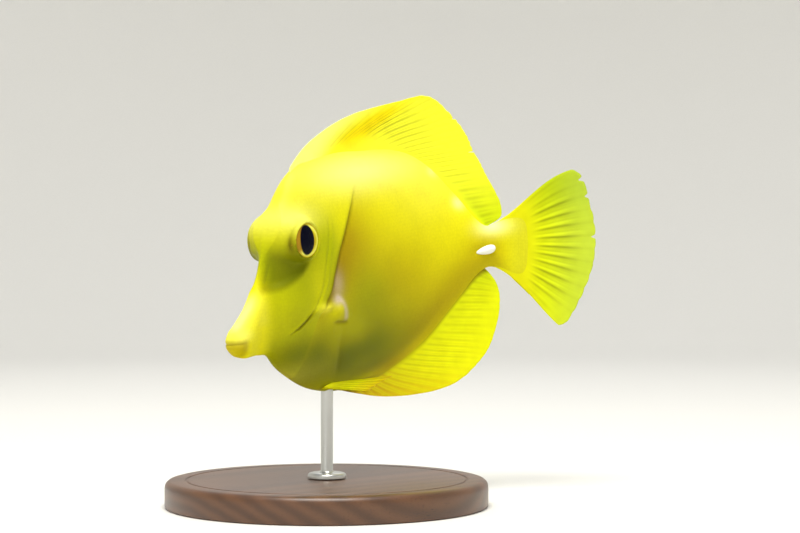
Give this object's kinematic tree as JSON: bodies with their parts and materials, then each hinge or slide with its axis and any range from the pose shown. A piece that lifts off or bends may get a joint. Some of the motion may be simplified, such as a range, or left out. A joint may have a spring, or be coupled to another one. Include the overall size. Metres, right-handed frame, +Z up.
{
  "type": "yellow tang model on a display stand",
  "caption": "Still life-size model of a yellow tang, deep flat body with long snout and tall fins, swimming in a gentle bend on a rod and round base.",
  "frame": {"origin": "centre of the underside of the stand's round base", "axes": "+Z up along the rod; the fish heads towards -X with its left flank towards -Y; +Y is its right flank's side"},
  "size_m": [0.1197, 0.084, 0.1089],
  "materials": {
    "head": "satin",
    "gill_cover_left": "satin",
    "gill_cover_right": "satin",
    "trunk": "satin",
    "tail": "satin",
    "eye_left": "glossy",
    "eye_right": "glossy",
    "tail_spine_left": "satin, white",
    "tail_spine_right": "satin, white",
    "dorsal_fin": "satin",
    "anal_fin": "satin",
    "caudal_fin": "satin",
    "pectoral_fin_left": "satin, partly clear",
    "pectoral_fin_right": "satin, partly clear",
    "pelvic_fin_left": "satin",
    "pelvic_fin_right": "satin",
    "stand_base": "dark, satin varnish",
    "stand_rod": "brushed"
  },
  "bodies": {
    "root": {"head": "head", "gill_cover_left": "gill_cover_left", "gill_cover_right": "gill_cover_right", "trunk": "trunk", "tail": "tail", "eye_left": "eye_left", "eye_right": "eye_right", "tail_spine_left": "tail_spine_left", "tail_spine_right": "tail_spine_right", "dorsal_fin": "dorsal_fin", "anal_fin": "anal_fin", "caudal_fin": "caudal_fin", "pectoral_fin_left": "pectoral_fin_left", "pectoral_fin_right": "pectoral_fin_right", "pelvic_fin_left": "pelvic_fin_left", "pelvic_fin_right": "pelvic_fin_right", "stand_base": "stand_base", "stand_rod": "stand_rod"}
  },
  "joints": []
}
